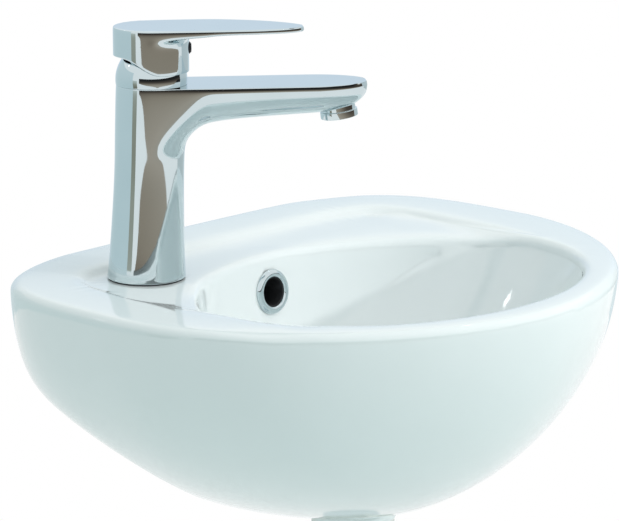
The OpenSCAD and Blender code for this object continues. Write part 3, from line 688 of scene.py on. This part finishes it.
# %% Well and foot
well_r, well_deep = 17.6, 36
well_bottom = body_top - well_deep
foot_edge, recess_deep, foot_wall, hollow_deep = 0.5, 0.5, 5, 30
pick("FACE", lambda f: is_disc(f) and f.normal.z > 0.9)
bpy.ops.mesh.inset(thickness=mm(crown_r - well_r), depth=0, use_even_offset=True)
drag(0, 0, -well_deep)
pick("FACE", lambda f: is_disc(f) and f.normal.z < -0.9 and f.calc_center_median().z < mm(2))
bpy.ops.mesh.inset(thickness=mm(foot_edge), depth=0, use_even_offset=True)
drag(0, 0, recess_deep)
bpy.ops.mesh.inset(thickness=mm(foot_wall), depth=0, use_even_offset=True)
drag(0, 0, hollow_deep)


def crisp_on_body(edge):
    point = middle(edge)
    top_or_foot = point.z > mm(body_top - 0.5) or point.z < mm(2)
    in_well = math.hypot(point.x - mm(pivot_x), point.y) < mm(well_r + 1)
    bottom = in_well and between(point.z, mm(well_bottom - 0.5), mm(well_bottom + 0.5))
    return folded(edge, 50) and (top_or_foot or bottom)


pick("EDGE", crisp_on_body)
bpy.ops.transform.edge_crease(value=0.9)
leave()
bake(tap, "SUBSURF", levels=3, render_levels=3)
soften(tap, 60)
settle(tap, tap_place)
finished(tap, bright_chrome, "fixed", "chrome", "tap_body")

# %% [markdown]
# ## The lever
# The lever is one casting too: a round skirt over the cartridge, and a racket-shaped blade that is
# hardly 3 mm thick, droops by a hair and ends bluntly. It could be cut out of a disc and a tube, but
# one mesh gives the sweep between them. The skirt's lower edge is low in front and steps up behind,
# so that the lever can be tipped back. The skirt is drawn up from a circle whose corners are then
# set to that edge, and the blade is pulled out of its topmost band.

# %% Lever
skirt_r, edge_front, edge_rise = 23.8, 5.3, 10.4
step_start, step_run = 3.5, 22
lever_top, blade_band = 33.6, 5.8
levels = [edge_front, 22, lever_top - blade_band, lever_top]
lever = start_ring("lever", skirt_r, edge_front)
for z0, z1 in zip(levels, levels[1:]):
    drag(0, 0, z1 - z0)
for corner in range(corners // 2 + 1):
    x = skirt_r * round_off * math.cos(corner_turn * corner)
    share = min(1, max(0, (step_start - x) / step_run))
    pick("VERT", lambda v: abs(v.co.x - mm(x)) < mm(0.2) and v.co.z < mm(edge_front + 0.5))
    bpy.ops.transform.translate(value=mm(0, 0, edge_rise * share * share * (3 - 2 * share)))
pick("FACE", lambda f: is_disc(f) and f.normal.z < 0)
bpy.ops.mesh.delete(type="FACE")
print("skirt's edge from", edge_front, "to", edge_front + edge_rise, "mm")

# %% [markdown]
# The blade's stations each have a distance, a half width, a thickness and a droop. The flat top is
# inset by a hair and its outer corners are lowered, like the body's polished shoulder.

# %% Lever blade
blade = [(30, 23.2, 4.6, 0), (37, 22.9, 3.7, 0), (46, 22.4, 3.2, 0.1), (60, 20.4, 3.0, 0.4),
         (70, 18.3, 3.0, 0.65), (80, 14.9, 3.0, 0.95), (88, 10.8, 3.0, 1.25), (93.5, 6.5, 3.0, 1.45),
         (96, 3.2, 2.9, 1.5)]
blade_start, blade_tip, top_slack = blade[0][0], blade[-1][0], 1.8
pick("FACE", lambda f: f.normal.x > 0.05 and len(f.verts) == 4
     and f.calc_center_median().z > mm(lever_top - blade_band + 1) and abs(f.normal.z) < 0.5)
drag(blade_start, 0, 0)
grow(0, 1, 1, about=(blade_start, 0, 0))
grow(1, 1, blade[0][2] / blade_band, about=(blade_start, 0, lever_top))
for (x0, w0, d0, s0), (x1, w1, d1, s1) in zip(blade, blade[1:]):
    drag(x1 - x0, 0, s0 - s1)
    grow(1, w1 / w0, d1 / d0, about=(x1, 0, lever_top - s1))
shoulder(lever_top, 0.4, 0.9, blade_tip, slack=top_slack)
crisp = pick("EDGE", lambda e: folded(e, 50) and middle(e).z > mm(lever_top - top_slack))
bpy.ops.transform.edge_crease(value=0.85)
print("blade of", len(blade), "stations with", crisp, "crisp edges")

# %% [markdown]
# The skirt is hollow below. Its open edge is drawn inwards to the wall's thickness, then up to a
# ceiling above the dome, which is closed. A crease keeps the wall's lower edge crisp.

# %% Hollow skirt
wall, ceiling = 1.0, 27.4
pick("EDGE", lambda e: len(e.link_faces) == 1)
bpy.ops.transform.edge_crease(value=0.8)
drag()
grow((skirt_r - wall) / skirt_r, (skirt_r - wall) / skirt_r)
bpy.ops.transform.edge_crease(value=0.8)
drag()
grow(1, 1, 0, about=(0, 0, ceiling))
bpy.ops.mesh.edge_face_add()
leave()
bake(lever, "SUBSURF", levels=3, render_levels=3)
soften(lever, 60)
settle(lever, pivot_place)
finished(lever, bright_chrome, "lever", "chrome", "lever_handle")

# %% [markdown]
# ## The dome
# The dome is part of a ball round the lever's pivot, so the skirt can tip over it with an even gap.
# A ball's section is an arc, and a turned part is what a lathe makes: the outline goes up outside,
# over the lip and down again inside, and is spun round the axis.

# %% Dome
dome_r, dome_wall, dome_hole, arc_steps = 22.6, 1.6, 15, 14
low_angle, lip_angle = -7.4, math.degrees(math.acos(dome_hole / dome_r))


def arc(radius, angles):
    return [(radius * math.cos(math.radians(a)), radius * math.sin(math.radians(a))) for a in angles]


up = [low_angle + (lip_angle - low_angle) * i / arc_steps for i in range(arc_steps + 1)]
dome = lathe("dome", arc(dome_r, up) + arc(dome_r - dome_wall, up[::-1]) + arc(dome_r, up[:1]), steps=96)
settle(dome, pivot_place)
soften(dome)
finished(dome, bright_chrome, "fixed", "chrome", "dome_cap")

# %% [markdown]
# ## The overflow
# A chrome ring trims the overflow. Its face is rounded like a bead, and a black sleeve behind it
# holds it in the hole. The sleeve's black is painted shade: it stands for the dark inside the hole, so
# that the hole looks black from in front. Both are turned, from outlines of radius and height.

# %% Overflow ring and sleeve
ring_line = [(9.7, 0.1), (9.7, 1.2), (10.0, 2.0), (10.7, 2.55), (11.6, 2.75), (12.6, 2.6), (13.6, 2.1),
             (14.4, 1.3), (14.9, 0.6), (15, 0.1), (9.7, 0.1)]
ring = lathe("overflow_trim", ring_line, steps=96)
settle(ring, overflow_place)
soften(ring, 50)
finished(ring, bright_chrome, "fixed", "chrome", "overflow_ring")

# The sleeve's black is painted shade for the inside of the overflow's hole.
shade_sleeve_line = [(9.65, 1.1), (9.2, 0.7), (9.2, -14.5), (10.3, -14.5), (10.3, 0.05), (9.65, 0.05),
               (9.65, 1.1)]
shade_sleeve = lathe("overflow_shade_sleeve", shade_sleeve_line, steps=64)
settle(shade_sleeve, overflow_place)
soften(shade_sleeve)
finished(shade_sleeve, black_rubber, "fixed", "rubber")

# %% [markdown]
# ## The fittings
# The small fittings are turned, pressed or moulded, and their solids already have the right shape.
# What they lack is the small radius that every real edge has, which catches the light. Each is copied,
# its triangles are joined to plain faces, a bevel rounds its edges, and the normals are weighted by
# the faces' size, so that the large faces shade flat.

# %% Fittings with broken edges
body_of = {n: b for b, members in frame["record"]["behaviour"]["bodies"].items() for n in members}


def slot_of(node):
    return node.material_slots[0].material.name.split(".")[0]


def broken_edges(name, width):
    clear()
    piece = bpy.data.objects.new(name + "_finished", nodes[name].data.copy())
    bpy.context.scene.collection.objects.link(piece)
    only(piece)
    edit("EDGE")
    bpy.ops.mesh.select_all(action="SELECT")
    bpy.ops.mesh.remove_doubles(threshold=mm(0.002))
    bpy.ops.mesh.dissolve_limited(angle_limit=math.radians(0.5))
    leave()
    bake(piece, "BEVEL", width=mm(width), segments=2, limit_method="ANGLE",
         angle_limit=math.radians(35))
    soften(piece)
    bake(piece, "WEIGHTED_NORMAL", keep_sharp=True)
    finished(piece, finishes[slot_of(nodes[name])], body_of[name], slot_of(nodes[name]), name)


for name, width in (("aerator_housing", 0.25), ("tap_foot_gasket", 0.2), ("clamp_plate", 0.25),
                    ("clamp_rubber", 0.3), ("stud_nut", 0.4), ("waste_backnut", 0.5),
                    ("waste_bottom_seal", 0.4), ("waste_body", 0.3)):
    broken_edges(name, width)

# %% [markdown]
# The two parts of the waste that are seen in the bowl are turned parts: the polished cover of the
# flange, a thin rounded ring, and the plug's cap, a low dome with a rolled edge. Their solids are
# cut into flat facets, which chrome shows, so both are turned anew to the same sizes.

# %% Waste cover and plug cap
cover_line = [(17.4, -71.0), (17.45, -69.9), (18.1, -69.25), (20.5, -67.75), (23.5, -67.3),
              (27.5, -66.72), (29.1, -66.5), (30.1, -66.62), (31.2, -67.15), (31.95, -67.65),
              (32.1, -68.2), (31.9, -68.8), (31.2, -69.02), (21.4, -69.02), (17.4, -71.0)]
cover = lathe("waste_cover", cover_line, steps=96)
settle(cover, waste_place)
soften(cover, 50)
finished(cover, bright_chrome, "fixed", "chrome")

cap_line = [(0, -62.5), (4, -62.56), (8, -62.77), (12, -63.12), (15.5, -63.6), (18.5, -64.22),
            (20.6, -64.92), (21.9, -65.68), (22.4, -66.35), (22.35, -66.9), (21.8, -67.26),
            (18, -67.28), (0, -67.28)]
cap = lathe("plug_cap", cap_line, steps=96)
settle(cap, waste_place)
soften(cap, 50)
finished(cap, bright_chrome, body_of["waste_plug"], "chrome", "waste_plug")

# %% [markdown]
# The mounting stud is threaded all along. A thread this fine is told from rings only by a nut, so
# its outline is a row of teeth, 1.25 mm apart, that is spun like any turned part.

# %% Threaded stud
stud_r, stud_x, stud_high, pitch = 3.9, -9, 14.9, 1.25
chamfer, groove, lead_in, clearance = 1.1, 0.7, 0.3, 0.05
stud_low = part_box("mounting_stud")[0][2] * 1000 - ledge_z + clearance
teeth = int((stud_high - stud_low) / pitch)
thread_low = stud_low + lead_in
thread_high = thread_low + teeth * pitch
stud_line = [(0, stud_low), (stud_r - chamfer, stud_low)]
for i in range(teeth):
    stud_line += [(stud_r - groove, thread_low + i * pitch), (stud_r, thread_low + (i + 0.5) * pitch)]
stud_line += [(stud_r - chamfer, thread_high), (0, thread_high)]
stud = lathe("threaded_stud", stud_line, steps=32)
settle(stud, tap_place @ Matrix.Translation(mm(stud_x, 0, 0)))
soften(stud, 20)
finished(stud, plated_steel, "fixed", "steel", "mounting_stud")

# %% [markdown]
# The nodes that stay as they are get their finishes by the name of their slot. They could be copied
# too, but a finish in the slot leaves the frame's own meshes alone.

# %% Finishes of the frame's own nodes
for name, node in nodes.items():
    node.material_slots[0].material = finishes[slot_of(node)]
print("repainted", len(nodes))

# %% [markdown]
# ## The studio
# The floor is pale and far below, since this basin hangs on a wall. A camera or a mirror sees the
# floor and the sky as white, while as light they are dimmer and faintly green, which is what the
# light path's rays tell apart. More light would whiten them too, but it would bleach the glaze.

# %% White where it is seen
def seen(tree):
    rays = tree.nodes.new("ShaderNodeLightPath")
    glossy = math_node(tree, "MAXIMUM", rays.outputs["Is Camera Ray"], rays.outputs["Is Glossy Ray"])
    return math_node(tree, "MAXIMUM", glossy, rays.outputs["Is Transmission Ray"])


def white_where_seen(tree, lit, white, surface):
    blend = tree.nodes.new("ShaderNodeMixShader")
    tree.links.new(seen(tree), blend.inputs[0])
    tree.links.new(lit, blend.inputs[1])
    tree.links.new(white, blend.inputs[2])
    tree.links.new(blend.outputs[0], surface)


# %% [markdown]
# The floor is one large plane, whose paint is matt, so that it shows no lamp.

# %% Floor
floor_z = -0.85
clear()
bpy.ops.mesh.primitive_plane_add(size=14, location=(0, 0, floor_z))
floor = bpy.context.object
floor.name = "studio_floor"
floor_paint, tree, shader = finish("floor_paint", (0.66, 0.77, 0.755), 0.9)
glow = add(tree, "Emission", Strength=1.0)
white_where_seen(tree, shader.outputs[0], glow.outputs[0], tree.nodes["Material Output"].inputs[0])
floor.data.materials.append(floor_paint)
print("floor at", floor_z)

# %% [markdown]
# The sky is the light of a large pale room, a little green, at a plain level, and the colours are
# shown as they are, without a film's curve.

# %% Sky
world = bpy.data.worlds.new("studio")
bpy.context.scene.world = world
world.use_nodes = True
tree = world.node_tree
dim = tree.nodes["Background"]
dim.inputs["Color"].default_value = (0.835, 0.945, 0.95, 1)
dim.inputs["Strength"].default_value = 0.75
white = add(tree, "Background", Color=(1, 1, 1, 1), Strength=1.0)
white_where_seen(tree, dim.outputs[0], white.outputs[0], tree.nodes["World Output"].inputs[0])
bpy.context.scene.view_settings.view_transform = "Standard"
print("sky", world.name)

# %% [markdown]
# Two lamps: a wide soft one overhead, and a smaller one low at the right, whose light is cut by the
# front rim, so that the bowl is shaded in front and bright at the back. Both face the basin. A sun
# could light it too, but its shadow has a hard edge, and a disc's is soft.

# %% Lamps
basin_heart = Vector((0, -0.16, 0))


def lamp(name, location, size, energy, colour):
    bpy.ops.object.light_add(type="AREA", location=location)
    light = bpy.context.object
    light.name = name
    light.data.shape = "DISK"
    light.data.size = size
    light.data.energy = energy
    light.data.color = colour
    light.visible_glossy = False
    light.rotation_euler = (basin_heart - light.location).to_track_quat("-Z", "Y").to_euler()
    print(name, energy, "W")


lamp("overhead", (0.5, -1.0, 1.5), 1.2, 9.5, (1.0, 0.955, 0.93))
lamp("low_right", (0.94, -2.27, 0.68), 0.10, 15, (1.0, 0.98, 0.975))

# %% [markdown]
# Chrome shows the room. A picture of a room could be wrapped round it, but boards are easier to move
# and to trim. A few stand round the object, seen only by reflections, and each is a strip of a large
# ring. Its profile gives the height of its lower edge at some angles, measured from the camera's
# side, to the right as the camera sees it.

# %% Middle of the room
mixer_at = Vector((-0.096, -0.079, 0.12))
camera_side = math.degrees(math.atan2(eye.y - mixer_at.y, eye.x - mixer_at.x))


def low_edge(profile, angle):
    for (a0, z0), (a1, z1) in zip(profile, profile[1:]):
        if a0 <= angle <= a1:
            return z0 + (z1 - z0) * (angle - a0) / (a1 - a0)
    return profile[-1][1]


print("camera side", round(camera_side, 1))


# %% [markdown]
# A board's paint glows, so that it needs no lamp, and its colour changes with the height in metres.

# %% Board paint
paint_low, paint_high = -0.8, 1.2


def paint_board(name, bands):
    paint = bpy.data.materials.new(name)
    paint.use_nodes = True
    tree = paint.node_tree
    tree.nodes.clear()
    place = tree.nodes.new("ShaderNodeTexCoord")
    axes = tree.nodes.new("ShaderNodeSeparateXYZ")
    span = add(tree, "MapRange", From_Min=paint_low, From_Max=paint_high)
    ramp = tree.nodes.new("ShaderNodeValToRGB")
    while len(ramp.color_ramp.elements) < len(bands):
        ramp.color_ramp.elements.new(0.5)
    for element, (height, colour) in zip(ramp.color_ramp.elements, bands):
        element.position = (height - paint_low) / (paint_high - paint_low)
        element.color = (*colour, 1)
    glow = add(tree, "Emission", Strength=1.0)
    out = tree.nodes.new("ShaderNodeOutputMaterial")
    tree.links.new(place.outputs["Object"], axes.inputs[0])
    tree.links.new(axes.outputs["Z"], span.inputs["Value"])
    tree.links.new(span.outputs["Result"], ramp.inputs["Fac"])
    tree.links.new(ramp.outputs["Color"], glow.inputs["Color"])
    tree.links.new(glow.outputs[0], out.inputs[0])
    return paint


# %% [markdown]
# A board is a flat grid with one row of faces. Its corners are carried to the ring one by one, the
# lower ones to the profile's height and the upper ones to the height of the straight upper edge.

# %% Board
def board(name, profile, high, radius, bands):
    start, end = profile[0][0], profile[-1][0]
    steps = max(2, round((end - start) / 3))
    clear()
    bpy.ops.mesh.primitive_grid_add(x_subdivisions=steps, y_subdivisions=1, size=1)
    strip = bpy.context.object
    strip.name = name
    bpy.ops.object.transform_apply(location=True, rotation=True, scale=True)
    edit("VERT")
    for i in range(steps + 1):
        angle = start + (end - start) * i / steps
        turn = math.radians(camera_side + angle)
        x, y = mixer_at.x + radius * math.cos(turn), mixer_at.y + radius * math.sin(turn)
        column_x = -0.5 + i / steps
        for side, height in ((-0.5, low_edge(profile, angle)), (0.5, high)):
            pick("VERT", lambda v: abs(v.co.x - column_x) < 1e-4 and abs(v.co.y - side) < 1e-4
                 and v.co.z == 0)
            bpy.ops.transform.translate(value=(x - column_x, y - side, height))
    leave()
    strip.data.materials.append(paint_board(name, bands))
    strip.visible_camera = False
    strip.visible_diffuse = False
    strip.visible_shadow = False
    print(name, steps, "strips")


# %% [markdown]
# Behind the camera stands a brown board, which darkens upward and whose lower edge is a wide V. It
# gives the mixer its brown hourglass. A narrow olive one stands at its left, and pale blue ones
# stand to the left, right and back.

# %% Boards
brown_profile = [(-40, -0.10), (-30, -0.25), (-15, -0.40), (0, -0.50), (10, -0.60), (19, -0.70),
                 (30, -0.58), (45, -0.49), (60, -0.42), (75, -0.35), (90, -0.27), (105, -0.12)]
brown_bands = [(-0.6, (0.44, 0.39, 0.33)), (-0.46, (0.45, 0.385, 0.32)), (-0.25, (0.33, 0.272, 0.215)),
               (0.02, (0.09, 0.07, 0.055)), (0.3, (0.02, 0.02, 0.02)), (0.8, (0.03, 0.03, 0.03))]
olive_bands = [(-0.7, (0.22, 0.21, 0.16)), (-0.3, (0.34, 0.34, 0.28)), (0.1, (0.6, 0.64, 0.6))]
left_bands = [(-0.7, (0.62, 0.74, 0.77)), (0.8, (0.70, 0.80, 0.83))]
right_bands = [(-0.6, (0.58, 0.64, 0.65)), (0.8, (0.70, 0.78, 0.82))]
back_bands = [(-0.6, (0.66, 0.76, 0.80)), (0.4, (0.68, 0.79, 0.90)), (0.6, (0.68, 0.79, 0.90)),
              (1.1, (0.95, 1.0, 1.03))]
board("brown_board", brown_profile, 0.55, 2.6, brown_bands)
board("olive_board", [(-62, -0.72), (-47, -0.72)], 0.2, 2.6, olive_bands)
board("left_board", [(-150, -0.8), (-62, -0.8)], 1.2, 2.7, left_bands)
board("right_board", [(106, -0.6), (150, -0.6)], 1.2, 2.7, right_bands)
board("back_board", [(150, -0.8), (210, -0.8)], 1.6, 2.8, back_bands)

# %% [markdown]
# Three small bright windows give the sparkles on the glaze and on the rim. They are boards as well,
# so that a lamp's light doesn't come with them.

# %% Windows
daylight = (12, 12, 12)
window_bands = [(0.2, daylight), (1.2, daylight)]
board("window_right", [(62.4, 0.66), (63.4, 0.66)], 0.672, 2.35, window_bands)
board("window_left", [(-99.5, 1.30), (-96.5, 1.30)], 1.38, 2.0, window_bands)
board("window_top", [(128.5, 1.66), (132.5, 1.66)], 1.74, 1.1, window_bands)
